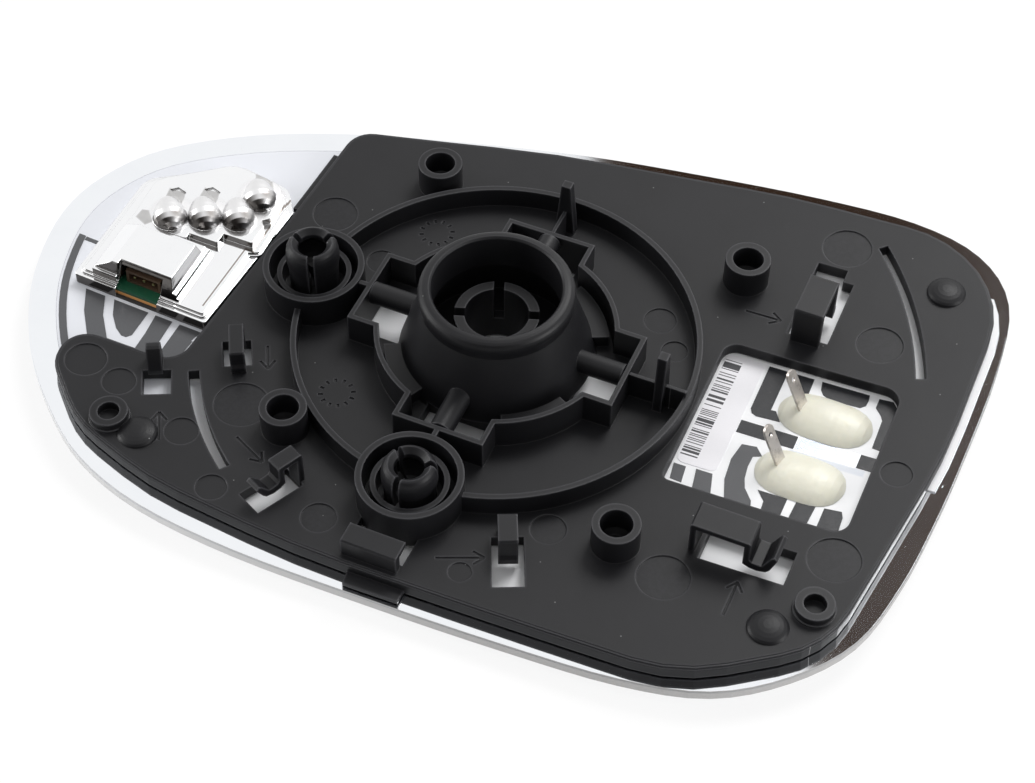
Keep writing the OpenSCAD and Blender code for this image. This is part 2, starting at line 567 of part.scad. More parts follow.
// The same hood seen from its side, with a lip that leans back
module hood_side(d, front = 0) polygon([[-16.2 + d, 0], [-16 + d, 3.8], [-14.2 + d - front, hood_z - 0.3 - d],
    [-13.9 + d - front, hood_z - d], [-4.2 - d, hood_z - d], [-3.2 - d, platform_z], [-1.5, platform_z - d],
    [-1.5, 0]]);
module hood(d) intersection() {
    translate([0, 5, 0]) rotate([90, 0, 0]) linear_extrude(30) hood_front(d);
    rotate([90, 0, 90]) union() {
        translate([0, 0, -90]) linear_extrude(40) hood_side(d);
        translate([0, 0, -90]) linear_extrude(90 + mouth_x - mouth_w / 2 - 0.3) hood_side(d, 1.3);
    }
}
module signal_outer() {
    translate([0, 0, lens_low]) linear_extrude(flange_h - lens_low) signal_plan(0);
    translate([0, 0, flange_h - 0.5]) linear_extrude(0.9) table_plan(-0.6);
    translate([0, 0, flange_h - 0.5]) linear_extrude(table_z - flange_h + 0.5) table_plan(0);
    translate([0, 0, flange_h - 0.5]) linear_extrude(platform_z - flange_h + 0.5) platform_plan(0);
    intersection() {
        hood(0);
        translate([-90, -20, flange_h - 0.5]) cube([40, 30, 20]);
    }
    // Low ledge in front of the hood's left end
    translate([-82, -16.5, flange_h - 0.5]) cube([82 + mouth_x - mouth_w / 2 - 0.3, 1.5, 2.6]);
    bowls(0);
}
module signal_inner() {
    translate([0, 0, -1]) linear_extrude(flange_h + 1 - shell_t) signal_plan(shell_t);
    translate([0, 0, -1]) linear_extrude(table_z + 1 - shell_t) table_plan(shell_t);
    translate([0, 0, -1]) linear_extrude(platform_z + 1 - shell_t) platform_plan(shell_t);
    difference() {
        hood(shell_t);
        translate([-90, -20, -1]) cube([mouth_x - mouth_w / 2 + 90, 40, 20]);
    }
    // The mouth for the plug, and shallow fan-shaped recesses beside the bowls
    translate([mouth_x - mouth_w / 2, -19, -1]) cube([mouth_w, 6, hood_z + 0.1]);
    bowls(shell_t);
    for (i = [0, 1, 3]) translate([reflector_places[i].x, reflector_places[i].y, platform_z - 0.35])
        linear_extrude(1) polygon([[-0.7, 2.6], [0.6, 3.9], [2.7, 3.3], [3.1, 0.4], [1.6, 1.6]]);
}
module signal_housing() color([0.85, 0.86, 0.88]) at_signal() difference() {
    signal_outer();
    signal_inner();
}
module signal_board() color("darkgreen") at_signal() translate([0, 0, board_low]) linear_extrude(board_t)
    difference() {
        signal_plan(shell_t + 0.15);
        for (p = reflector_places) translate([p.x + 5, p.y - 4.4]) circle(1.6);
    }
module signal_leds() color("gold") at_signal() for (p = reflector_places)
    translate([p.x + 1.8, p.y - 2.5, board_low + board_t]) linear_extrude(0.7) bar(1.6, 2);
module signal_resistors() color([0.2, 0.2, 0.2]) at_signal() for (i = [0:2])
    translate([mouth_x - 3 + 3 * i, -6.5, board_low + board_t]) linear_extrude(0.5) bar(1.2, 2);
module connector_shape() translate([mouth_x, -12.6, board_low + board_t]) difference() {
    translate([-3.9, -1.8, 0]) cube([7.8, 3.6, 3.4]);
    translate([-3.3, -2.8, 0.6]) cube([6.6, 3.6, 2.2]);
}
module signal_connector() color([0.35, 0.27, 0.2]) at_signal() difference() {
    connector_shape();
    connector_pin_row();
}
module connector_pin_row() for (i = [-1:1]) translate([mouth_x + 2.1 * i, -12.6, board_low + board_t])
    translate([-0.25, -1.6, 1.4]) cube([0.5, 4, 0.5]);
module connector_pins() color("gold") at_signal() connector_pin_row();
module signal_lens() color([0.8, 0.35, 0.1, 0.6]) at_signal() {
    translate([0, 0, lens_low]) linear_extrude(lens_t) signal_plan(shell_t + 0.1);
    translate([0, 0, lens_low + lens_t]) linear_extrude(board_low - lens_low - lens_t) difference() {
        signal_plan(shell_t + 0.1);
        signal_plan(shell_t + 1);
    }
}
module signal_gasket() color([0.1, 0.1, 0.1]) layer(film_top, film_top + gasket_t) difference() {
    signal_plan(0.2);
    signal_plan(2.4);
}

mirror_glass();
heater_foil();
heater_track();
foam_pad();
backing_plate();
data_label();
terminal_upper();
terminal_lower();
terminal_rivets();
sealant_upper();
sealant_lower();
signal_housing();
signal_board();
signal_leds();
signal_resistors();
signal_connector();
connector_pins();
signal_lens();
signal_gasket();
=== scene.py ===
"""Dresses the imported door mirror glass: its finishes, the studio and the camera."""
import logging
import math
from dataclasses import dataclass, field
from enum import Enum
from typing import Dict, List, Mapping, Optional, Sequence, Tuple, Union

import bpy
from mathutils import Matrix, Vector


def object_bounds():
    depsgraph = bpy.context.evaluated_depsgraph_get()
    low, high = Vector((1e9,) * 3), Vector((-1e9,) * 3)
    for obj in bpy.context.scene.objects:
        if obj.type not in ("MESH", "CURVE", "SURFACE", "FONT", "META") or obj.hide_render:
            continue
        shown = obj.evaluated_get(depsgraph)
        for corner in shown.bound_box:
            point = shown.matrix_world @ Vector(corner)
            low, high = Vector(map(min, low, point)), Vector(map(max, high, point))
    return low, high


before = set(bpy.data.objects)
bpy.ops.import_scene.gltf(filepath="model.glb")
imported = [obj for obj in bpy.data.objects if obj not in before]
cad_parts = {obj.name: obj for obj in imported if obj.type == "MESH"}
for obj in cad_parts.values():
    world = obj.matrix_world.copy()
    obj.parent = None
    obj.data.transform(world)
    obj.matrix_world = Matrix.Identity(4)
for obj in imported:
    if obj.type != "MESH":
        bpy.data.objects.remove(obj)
cad_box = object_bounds()

log = logging.getLogger("mirror_glass")

MM = 0.001
Colour = Tuple[float, float, float]
Point = Tuple[float, float]
Feed = Union["Wire", float, Sequence[float]]


class Sum(Enum):
    """The operations of a Math node that the finishes use."""

    ADD = "ADD"
    SUBTRACT = "SUBTRACT"
    MULTIPLY = "MULTIPLY"
    DIVIDE = "DIVIDE"
    POWER = "POWER"
    MAXIMUM = "MAXIMUM"
    MINIMUM = "MINIMUM"
    GREATER = "GREATER_THAN"
    FLOOR = "FLOOR"


class Wire:
    """One output socket of a shader, on which Python's own operators work."""

    def __init__(self, board: "Board", socket: bpy.types.NodeSocket) -> None:
        """Wraps a socket.

        Args:
            board: the node tree that the socket belongs to.
            socket: the output socket.
        """
        self.board = board
        self.socket = socket

    def __add__(self, other: Feed) -> "Wire":
        """Adds a value or a wire."""
        return self.board.sum(Sum.ADD, self, other)

    __radd__ = __add__

    def __mul__(self, other: Feed) -> "Wire":
        """Multiplies by a value or a wire."""
        return self.board.sum(Sum.MULTIPLY, self, other)

    __rmul__ = __mul__

    def __sub__(self, other: Feed) -> "Wire":
        """Takes a value or a wire away."""
        return self.board.sum(Sum.SUBTRACT, self, other)

    def __rsub__(self, other: Feed) -> "Wire":
        """Is taken away from a value."""
        return self.board.sum(Sum.SUBTRACT, other, self)

    def __truediv__(self, other: Feed) -> "Wire":
        """Divides by a value or a wire."""
        return self.board.sum(Sum.DIVIDE, self, other)

    def __pow__(self, other: Feed) -> "Wire":
        """Raises to a power."""
        return self.board.sum(Sum.POWER, self, other)

    def __or__(self, other: Feed) -> "Wire":
        """Joins two masks: the larger of both."""
        return self.board.sum(Sum.MAXIMUM, self, other)

    def __and__(self, other: Feed) -> "Wire":
        """Crosses two masks: the smaller of both."""
        return self.board.sum(Sum.MINIMUM, self, other)

    def __gt__(self, other: Feed) -> "Wire":
        """Is 1 where it is greater, and 0 elsewhere."""
        return self.board.sum(Sum.GREATER, self, other)

    def floor(self) -> "Wire":
        """Rounds down."""
        return self.board.sum(Sum.FLOOR, self)


class Board:
    """The node tree of one material. Its lengths are in millimetres."""

    def __init__(self, name: str) -> None:
        """Starts an empty material.

        Args:
            name: the material's name.
        """
        self.material = bpy.data.materials.new(name)
        self.material.use_nodes = True
        self.tree = self.material.node_tree
        self.tree.nodes.clear()
        self.output = self.tree.nodes.new("ShaderNodeOutputMaterial")
        self._place: Optional[Wire] = None
        self._axes: Dict[str, Wire] = {}

    def node(self, kind: str, settings: Optional[Mapping[str, object]] = None,
             inputs: Optional[Mapping[Union[str, int], Feed]] = None, output: Union[str, int] = 0) -> Wire:
        """Adds one node.

        Args:
            kind: the node's type.
            settings: its own settings, and the stops of a colour ramp.
            inputs: values or wires for its sockets, by name or place.
            output: the output socket to return.

        Returns:
            A wire on that output.
        """
        made = self.tree.nodes.new(kind)
        for name, value in (settings or {}).items():
            setattr(made, name, value)
        for key, value in (inputs or {}).items():
            self.plug(made.inputs[key], value)
        return Wire(self, made.outputs[output])

    def plug(self, socket: bpy.types.NodeSocket, value: Feed) -> None:
        """Gives a socket its value or its link.

        Args:
            socket: the input socket.
            value: a wire, a number, a colour or a vector.
        """
        if isinstance(value, Wire):
            self.tree.links.new(value.socket, socket)
        elif socket.type == "RGBA" and len(value) == 3:
            socket.default_value = (*value, 1.0)
        else:
            socket.default_value = value

    def sum(self, operation: Sum, *values: Feed) -> Wire:
        """Adds a Math node.

        Args:
            operation: what it works out.
            values: its one or two inputs.

        Returns:
            A wire on the result.
        """
        return self.node("ShaderNodeMath", {"operation": operation.value}, dict(enumerate(values)))

    @property
    def place(self) -> Wire:
        """The object coordinates in millimetres."""
        if self._place is None:
            metres = self.node("ShaderNodeTexCoord", output="Object")
            self._place = self.node("ShaderNodeVectorMath", {"operation": "SCALE"},
                                    {0: metres, "Scale": 1.0 / MM})
        return self._place

    def axis(self, name: str) -> Wire:
        """One of the three object coordinates.

        Args:
            name: X, Y or Z.

        Returns:
            That coordinate in millimetres.
        """
        if name not in self._axes:
            self._axes[name] = self.node("ShaderNodeSeparateXYZ", inputs={0: self.place}, output=name)
        return self._axes[name]

    def noise(self, size_mm: float, detail: float = 2.0, roughness: float = 0.5, distortion: float = 0.0,
              stretch: Tuple[float, float, float] = (1.0, 1.0, 1.0)) -> Wire:
        """A cloudy pattern.

        Args:
            size_mm: the size of its patches.
            detail: how many finer layers it has.
            roughness: how strong they are.
            distortion: how much it is swirled.
            stretch: factors on its coordinates.

        Returns:
            A wire from 0 to 1.
        """
        where = self.place
        if stretch != (1.0, 1.0, 1.0):
            where = self.node("ShaderNodeVectorMath", {"operation": "MULTIPLY"}, {0: where, 1: stretch})
        return self.node("ShaderNodeTexNoise", inputs={
            "Vector": where, "Scale": 1.0 / size_mm, "Detail": detail, "Roughness": roughness,
            "Distortion": distortion})

    def specks(self, spacing_mm: float, radius_mm: float) -> Wire:
        """Sparse round dots over X and Y, such as dust.

        Args:
            spacing_mm: the usual distance between them.
            radius_mm: the radius of each.

        Returns:
            A mask from 0 to 1.
        """
        near = self.node("ShaderNodeTexVoronoi", {"voronoi_dimensions": "2D"},
                         {"Vector": self.place, "Scale": 1.0 / spacing_mm}, "Distance")
        edge = radius_mm / spacing_mm
        return 1.0 - self.step(near, edge * 0.6, edge)

    def step(self, value: Feed, low: float, high: float) -> Wire:
        """A soft step.

        Args:
            value: what is looked at.
            low: where the step starts.
            high: where it ends.

        Returns:
            0 below low, 1 above high, and a smooth way between.
        """
        return self.node("ShaderNodeMapRange", {"interpolation_type": "SMOOTHSTEP"},
                         {"Value": value, "From Min": low, "From Max": high})

    def between(self, value: Wire, low: float, high: float, soft: float = 0.1) -> Wire:
        """A mask that is 1 between two values.

        Args:
            value: what is looked at.
            low: the lower end.
            high: the upper end.
            soft: the width of its soft edges.

        Returns:
            A mask from 0 to 1.
        """
        return self.step(value, low - soft, low + soft) & (1.0 - self.step(value, high - soft, high + soft))

    def rectangle(self, low: Point, high: Point, soft: float = 0.1) -> Wire:
        """A mask over a rectangle in X and Y.

        Args:
            low: its lowest corner.
            high: its highest corner.
            soft: the width of its soft edges.

        Returns:
            A mask from 0 to 1.
        """
        across = self.between(self.axis("X"), low[0], high[0], soft)
        return across & self.between(self.axis("Y"), low[1], high[1], soft)

    def spot(self, centre: Point, radius: float, soft: float) -> Wire:
        """A round mask in X and Y.

        Args:
            centre: its middle.
            radius: where it is half gone.
            soft: how wide its edge is.

        Returns:
            A mask from 0 to 1.
        """
        across = self.axis("X") - centre[0]
        along = self.axis("Y") - centre[1]
        away = (across * across + along * along) ** 0.5
        return 1.0 - self.step(away, radius - soft, radius + soft)

    def mix(self, factor: Feed, first: Feed, second: Feed) -> Wire:
        """Mixes two colours.

        Args:
            factor: 0 for the first, 1 for the second.
            first: a colour or a wire.
            second: a colour or a wire.

        Returns:
            A wire on the mixed colour.
        """
        return self.node("ShaderNodeMix", {"data_type": "RGBA"}, {0: factor, 6: first, 7: second}, 2)

    def soft_edges(self, radius_mm: float) -> Wire:
        """Normals that round the edges off.

        Args:
            radius_mm: the radius of the rounded edge.

        Returns:
            A wire on the normal.
        """
        return self.node("ShaderNodeBevel", {"samples": 6}, {"Radius": radius_mm * MM})

    def rims(self, reach_mm: float) -> Wire:
        """A mask of the outer edges, found by ambient occlusion sampled from inside; the moulding paints its
        edge highlight with it.

        Args:
            reach_mm: how far it reaches from the edge.

        Returns:
            A mask from 0 to 1.
        """
        depth = self.node("ShaderNodeAmbientOcclusion", {"samples": 4, "inside": True, "only_local": True},
                          {"Distance": reach_mm * MM}, "AO")
        return 1.0 - self.step(depth, 0.5, 0.9)

    def sides(self, name: str, low: float, high: float) -> Wire:
        """A mask of the faces that look along one axis.

        Args:
            name: X, Y or Z.
            low: the part of the normal along it where the mask starts.
            high: where it is full, which is below low for faces that look the other way.

        Returns:
            A mask from 0 to 1.
        """
        normal = self.node("ShaderNodeNewGeometry", output="Normal")
        along = self.node("ShaderNodeSeparateXYZ", inputs={0: normal}, output=name)
        return self.step(along, low, high) if low < high else 1.0 - self.step(along, high, low)

    def shape(self, corners: Sequence[Point], soft: float = 0.2) -> Wire:
        """A mask over a convex outline in X and Y.

        Args:
            corners: its corners, clockwise as seen from above.
            soft: the width of its soft edges.

        Returns:
            A mask from 0 to 1.
        """
        mask: Feed = 1.0
        for (x0, y0), (x1, y1) in zip(corners, tuple(corners[1:]) + tuple(corners[:1])):
            run = math.hypot(x1 - x0, y1 - y0)
            inside = (self.axis("X") - x0) * ((y1 - y0) / run) - (self.axis("Y") - y0) * ((x1 - x0) / run)
            mask = self.step(inside, -soft, soft) & mask
        return mask

    def any_of(self, masks: Sequence[Wire]) -> Wire:
        """Joins masks into one.

        Args:
            masks: the masks.

        Returns:
            A mask that is as high as the highest of them.
        """
        joined = masks[0]
        for mask in masks[1:]:
            joined = joined | mask
        return joined

    def bump(self, height: Wire, depth_mm: float, normal: Optional[Wire] = None) -> Wire:
        """Normals that follow a height.

        Args:
            height: a wire from 0 to 1.
            depth_mm: the height that 1 stands for.
            normal: the normal that it goes on.

        Returns:
            A wire on the normal.
        """
        inputs: Dict[Union[str, int], Feed] = {"Height": height, "Distance": depth_mm * MM, "Strength": 1.0}
        if normal is not None:
            inputs["Normal"] = normal
        return self.node("ShaderNodeBump", inputs=inputs)

    def principled(self, **sockets: Feed) -> bpy.types.Material:
        """Ends the material in one Principled shader.

        Args:
            sockets: values or wires, by the socket's name with _ for each space.

        Returns:
            The finished material.
        """
        inputs = {name.replace("_", " "): value for name, value in sockets.items()}
        shader = self.node("ShaderNodeBsdfPrincipled", inputs=inputs)
        self.tree.links.new(shader.socket, self.output.inputs["Surface"])
        return self.material


class Finish:
    """What one kind of surface looks like."""

    name: str

    def build(self) -> bpy.types.Material:
        """Builds the material."""
        raise NotImplementedError


@dataclass(frozen=True)
class BlackMoulding(Finish):
    """Black injection-moulded plastic with a fine grain, rounded edges, faint scuffs, a little dust and a
    painted highlight along its outer edges.
    """

    name: str = "black_moulding"
    colour: Colour = (0.0045, 0.0045, 0.0052)
    rubbed: Colour = (0.015, 0.015, 0.0175)
    # The next colour is the painted highlight along the outer edges.
    rim: Colour = (0.09, 0.09, 0.098)
    dust: Colour = (0.4, 0.4, 0.4)
    dust_apart_mm: float = 23.0
    dust_mm: float = 0.13
    rim_mm: float = 0.45
    grain_mm: float = 0.16
    edge_mm: float = 0.28
    mark_soft_mm: float = 0.15
    specular: float = 0.25
    marks: Sequence[Tuple[float, float, float]] = (
        (-39.2, -33.3, 5.4), (-45.4, 19.8, 4.6), (55.6, 52.2, 5.0), (69.5, 29.9, 4.6), (77.4, -23.2, 5.0),
        (50.0, -38.6, 5.0), (26.5, -36.6, 3.4), (-13.4, -51.5, 3.4), (27.0, 20.0, 3.2), (-31.0, 12.0, 3.0))

    def build(self) -> bpy.types.Material:
        """Builds the material."""
        board = Board(self.name)
        cloud = board.noise(14.0, 4.0, 0.6)
        grain = board.noise(self.grain_mm, 2.0, 0.6)
        scuffs = board.step(board.noise(2.2, 5.0, 0.7, 0.6, (1.0, 0.35, 1.0)), 0.6, 0.78)
        dust = board.specks(self.dust_apart_mm, self.dust_mm)
        rims = board.rims(self.rim_mm)
        worn = cloud * 0.5 + grain * 0.25 + scuffs * 0.3
        colour = board.mix(worn, self.colour, self.rubbed)
        # Painted highlight: the outer edges are lightened towards the rim colour.
        colour = board.mix(rims * 0.6, colour, self.rim)
        colour = board.mix(dust * 0.6, colour, self.dust)
        smooth = board.any_of([board.spot((x, y), radius, self.mark_soft_mm) for x, y, radius in self.marks])
        mottle = board.step(board.noise(0.9, 4.0, 0.7), 0.4, 0.62)
        colour = board.mix(smooth * mottle * 0.6, colour, self.rubbed)
        normal = board.bump(grain, 0.012, board.soft_edges(self.edge_mm))
        normal = board.bump(board.noise(5.0, 2.0), 0.02, normal)
        roughness = 0.33 + 0.14 * cloud + 0.08 * grain - 0.06 * smooth - 0.1 * rims
        return board.principled(Base_Color=colour, Roughness=roughness, Specular_IOR_Level=self.specular,
                                Normal=normal)


@dataclass(frozen=True)
class SilveredGlass(Finish):
    """Mirrored glass with a ground edge."""

    name: str = "silvered_glass"
    silver: Colour = (0.91, 0.925, 0.945)
    hazed: Colour = (0.85, 0.87, 0.9)
    scuffed: Colour = (0.7, 0.68, 0.65)
    ground: Colour = (0.66, 0.66, 0.66)
    shaded: Colour = (0.36, 0.352, 0.345)
    grit_colour: Colour = (0.8, 0.8, 0.82)
    face_from: Tuple[float, float] = (0.93, 0.985)
    shade_over_mm: Tuple[float, float] = (-60.0, 40.0)

    def build(self) -> bpy.types.Material:
        """Builds the material."""
        board = Board(self.name)
        low, high = self.face_from
        flat = board.sides("Z", low, high) | board.sides("Z", -low, -high)
        haze = board.noise(9.0, 4.0, 0.6)
        grit = board.noise(0.35, 3.0, 0.7)
        scuffs = board.step(board.noise(1.6, 5.0, 0.7, 1.5, (1.0, 0.5, 1.0)), 0.66, 0.74)
        silver = board.mix(haze, self.silver, self.hazed)
        silver = board.mix(scuffs * 0.25, silver, self.scuffed)
        ground = board.mix(board.step(board.axis("X"), *self.shade_over_mm), self.ground, self.shaded)
        ground = board.mix(grit * 0.3, ground, self.grit_colour)
        return board.principled(Base_Color=board.mix(flat, ground, silver), Metallic=flat,
                                Roughness=0.5 - 0.46 * flat + 0.02 * haze + 0.12 * scuffs,
                                Normal=board.bump(grit * (1.0 - flat), 0.01))


@dataclass(frozen=True)
class WhiteFoil(Finish):
    """White heater foil with a silvery conductor strip between the terminals, and a painted sheen in the
    strip's silvery colour on the foil beside it.
    """

    name: str = "white_foil"
    colour: Colour = (0.84, 0.85, 0.87)
    paler: Colour = (0.9, 0.9, 0.91)
    shaded: Colour = (0.7, 0.715, 0.76)
    rim: Colour = (0.25, 0.26, 0.3)
    rim_mm: float = 0.18
    silver: Colour = (0.5, 0.56, 0.66)
    bright: Colour = (0.72, 0.76, 0.84)
    strip_box: Tuple[Point, Point] = ((61.7, 1.2), (74.0, 4.7))
    # The band beside the strip where a sheen is painted in the silvery colour, without metal.
    painted_sheen_box: Tuple[Point, Point] = ((61.0, -0.4), (76.0, 1.1))
    shade_over_mm: Tuple[float, float] = (-55.0, -40.0)

    def build(self) -> bpy.types.Material:
        """Builds the material."""
        board = Board(self.name)
        strip = board.rectangle(*self.strip_box, 0.12)
        # Painted sheen: this band is painted part way towards the silvery colour.
        painted_sheen = board.rectangle(*self.painted_sheen_box, 0.3) * 0.6
        creases = board.noise(3.0, 3.0, 0.5, 0.4)
        shade = 1.0 - board.step(board.axis("X"), *self.shade_over_mm)
        colour = board.mix(board.noise(6.0, 3.0), self.colour, self.paler)
        colour = board.mix(shade * 0.9, colour, self.shaded)
        colour = board.mix(board.rims(self.rim_mm), colour, self.rim)
        streaks = board.noise(0.6, 3.0, 0.6, 0.0, (0.12, 1.0, 1.0))
        metal = board.mix(streaks, self.silver, self.bright)
        roughness = 0.34 - 0.1 * strip + 0.06 * creases
        return board.principled(Base_Color=board.mix(strip | painted_sheen, colour, metal), Metallic=0.8 * strip,
                                Roughness=roughness, Normal=board.bump(creases, 0.03))


@dataclass(frozen=True)
class HeatingPrint(Finish):
    """Glossy carbon print of the heater."""

    name: str = "heating_print"
    colour: Colour = (0.022, 0.023, 0.026)
    thinner: Colour = (0.085, 0.087, 0.093)
    grainy: Colour = (0.05, 0.05, 0.055)
    thin_over_mm: Tuple[float, float] = (30.0, -50.0)
    thin_box: Tuple[Point, Point] = ((40.0, -18.0), (58.5, -0.5))

    def build(self) -> bpy.types.Material:
        """Builds the material."""
        board = Board(self.name)
        grain = board.noise(0.5, 3.0)
        thin = board.step(board.axis("X"), *self.thin_over_mm) | board.rectangle(*self.thin_box, 0.8)
        colour = board.mix(thin, self.colour, self.thinner)
        colour = board.mix(grain * 0.3, colour, self.grainy)
        return board.principled(Base_Color=colour, Roughness=0.2 + 0.1 * grain,
                                Normal=board.bump(board.noise(2.5, 2.0), 0.02))


@dataclass(frozen=True)
class DataLabel(Finish):
    """White paper label with a plain row of bars."""

    name: str = "data_label"
    paper: Colour = (0.82, 0.81, 0.84)
    fibres: Colour = (0.88, 0.87, 0.9)
    ink: Colour = (0.03, 0.03, 0.035)
    bars_box: Tuple[Point, Point] = ((41.9, -7.8), (45.4, 18.0))
    bar_mm: float = 0.22
    bare_share: float = 0.52

    def build(self) -> bpy.types.Material:
        """Builds the material."""
        board = Board(self.name)
        fibre = board.noise(0.3, 3.0)
        row = (board.axis("Y") / self.bar_mm).floor()
        chance = board.node("ShaderNodeTexWhiteNoise", {"noise_dimensions": "1D"}, {"W": row}, "Value")
        bars = (chance > self.bare_share) & board.rectangle(*self.bars_box, 0.03)
        paper = board.mix(fibre, self.paper, self.fibres)
        return board.principled(Base_Color=board.mix(bars, paper, self.ink), Roughness=0.45 + 0.1 * fibre,
                                Normal=board.bump(fibre, 0.006))


@dataclass(frozen=True)
class BrushedMetal(Finish):
    """Plated or plain sheet metal with fine rubbing marks."""

    name: str
    colour: Colour
    shade: Colour
    roughness: float = 0.25

    def build(self) -> bpy.types.Material:
        """Builds the material."""
        board = Board(self.name)
        lines = board.noise(0.25, 3.0, 0.6, 0.0, (1.0, 1.0, 0.12))
        stains = board.step(board.noise(1.6, 4.0, 0.65), 0.45, 0.75)
        colour = board.mix(stains * 0.7, self.colour, self.shade)
        return board.principled(Base_Color=colour, Metallic=1.0, Roughness=self.roughness + 0.2 * lines,
                                Normal=board.bump(lines, 0.01, board.soft_edges(0.08)))


@dataclass(frozen=True)
class CuredSealant(Finish):
    """Cream sealant that has set with a smooth skin."""

    name: str = "cured_sealant"
    colour: Colour = (0.76, 0.74, 0.61)
    paler: Colour = (0.81, 0.8, 0.7)
    scatter: Tuple[float, float, float] = (1.0, 0.8, 0.5)

    def build(self) -> bpy.types.Material:
        """Builds the material."""
        board = Board(self.name)
        swell = board.noise(4.5, 2.0)
        pores = board.noise(0.5, 3.0, 0.6)
        colour = board.mix(swell, self.colour, self.paler)
        normal = board.bump(swell, 0.35)
        return board.principled(Base_Color=colour, Roughness=0.34 + 0.12 * pores, Subsurface_Weight=0.15,
                                Subsurface_Radius=self.scatter, Subsurface_Scale=MM,
                                Normal=board.bump(pores, 0.012, normal))


@dataclass(frozen=True)
class Metallised(Finish):
    """Plastic with a bright vacuum-metallised skin, whose colour carries painted shade in the bowls and on
    the faces that look to the front, and painted reflections in the bowls, on the fan facets and on the faces
    that look to the right.
    """

    name: str = "metallised"
    colour: Colour = (0.93, 0.935, 0.94)
    hazed: Colour = (0.88, 0.885, 0.9)
    # The next colour is the painted shade in the reflector bowls.
    painted_bowl_shade: Colour = (0.66, 0.65, 0.65)
    # The next colour is a painted dim reflection, laid on the fan facets and on the faces that look to the
    # right.
    thin: Colour = (0.42, 0.415, 0.41)
    shaded: Colour = (0.03, 0.022, 0.016)
    # The next colour is the painted brown reflection at the foot of each bowl, and also the colour of the
    # seams.
    brown: Colour = (0.16, 0.115, 0.085)
    bowls: Sequence[Tuple[float, float, float]] = (
        (-74.2, 3.4, 4.6), (-68.0, 6.4, 4.6), (-61.4, 9.3, 4.6), (-60.4, 16.0, 4.6))
    # Spots where the brown reflection is painted, one at the foot of each bowl.
    painted_reflection_spots: Sequence[Tuple[float, float, float]] = (
        (-72.3, 1.8, 0.9), (-65.8, 4.8, 0.9), (-59.4, 7.6, 0.9), (-58.3, 14.6, 0.9))
    # Facets where the dim reflection is painted.
    fans: Sequence[Sequence[Point]] = (
        ((-78.4, 9.5), (-75.2, 10.2), (-74.3, 8.0), (-74.0, 5.4), (-78.0, 7.2)),
        ((-72.0, 12.8), (-68.9, 13.2), (-68.1, 10.8), (-67.8, 8.6), (-71.8, 10.2)),
        ((-80.7, -0.6), (-80.5, 1.7), (-79.2, 2.1), (-77.0, -0.3), (-78.0, -1.7)),
        ((-64.7, 21.6), (-62.9, 22.8), (-61.1, 22.1), (-59.0, 18.6), (-63.8, 19.9)))
    seams: Sequence[Sequence[Point]] = (
        ((-58.0, -14.6), (-57.5, 2.5), (-57.2, 2.5), (-57.7, -14.6)),
        ((-55.9, 3.4), (-55.9, 19.5), (-55.5, 19.5), (-55.5, 3.4)),
        ((-57.5, 2.4), (-57.5, 2.9), (-55.4, 2.9), (-55.4, 2.4)))

    def build(self) -> bpy.types.Material:
        """Builds the material."""
        board = Board(self.name)
        ripple = board.noise(1.8, 2.0, 0.5)
        haze = board.noise(6.0, 4.0, 0.6)
        colour = board.mix(haze, self.colour, self.hazed)
        bowls = board.any_of([board.spot((x, y), radius, 1.2) for x, y, radius in self.bowls])
        # Mask of the painted brown reflection spots.
        low = board.any_of([board.spot((x, y), radius, 0.8) for x, y, radius in self.painted_reflection_spots])
        fans = board.any_of([board.shape(corners) for corners in self.fans])
        seams = board.any_of([board.shape(corners, 0.08) for corners in self.seams])
        # Painted shade in the bowls.
        colour = board.mix(bowls * 0.6, colour, self.painted_bowl_shade)
        # Painted brown reflection at the foot of each bowl.
        colour = board.mix(low * 0.55, colour, self.brown)
        # Painted dim reflection on the fan facets.
        colour = board.mix(fans * (0.75 + 0.25 * ripple), colour, self.thin)
        colour = board.mix(seams * 0.8, colour, self.brown)
        front = board.sides("Y", -0.45, -0.8)
        right = board.sides("X", 0.5, 0.85)
        # Painted dim reflection on the faces that look to the right.
        colour = board.mix(right * 0.55, colour, self.thin)
        colour = board.mix(front * (0.82 + 0.15 * haze), colour, self.shaded)
        normal = board.bump(ripple, 0.02, board.soft_edges(0.22))
        roughness = 0.07 + 0.08 * haze + 0.26 * bowls + 0.2 * fans
        return board.principled(Base_Color=colour, Metallic=1.0, Roughness=roughness, Normal=normal)


@dataclass(frozen=True)
class PlainPolymer(Finish):
    """A moulded, coated or foamed polymer of one colour, with a fine texture."""

    name: str
    colour: Colour
    paler: Colour
    roughness: float = 0.5
    grain_mm: float = 0.2
    depth_mm: float = 0.01

    def build(self) -> bpy.types.Material:
        """Builds the material."""
        board = Board(self.name)
        grain = board.noise(self.grain_mm, 3.0, 0.6)
        cloud = board.noise(self.grain_mm * 20.0, 3.0)
        colour = board.mix(grain * 0.4 + cloud * 0.4, self.colour, self.paler)
        return board.principled(Base_Color=colour, Roughness=self.roughness + 0.1 * grain,
                                Normal=board.bump(grain, self.depth_mm))


@dataclass
class Part:
    """A group of carried-over nodes and what each is finished in."""

    finishes: Dict[str, Finish] = field(default_factory=dict)
    made: Dict[Finish, bpy.types.Material] = field(default_factory=dict)

    def material(self, finish: Finish) -> bpy.types.Material:
        """Builds a finish once.

        Args:
            finish: the finish.

        Returns:
            Its material.
        """
        if finish not in self.made:
            self.made[finish] = finish.build()
        return self.made[finish]

    def dress(self) -> None:
        """Gives every node of the group its finish."""
        for name, finish in self.finishes.items():
            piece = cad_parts[name]
            piece.data.materials.clear()
            piece.data.materials.append(self.material(finish))
            log.info("dressed %s in %s", name, finish.name)


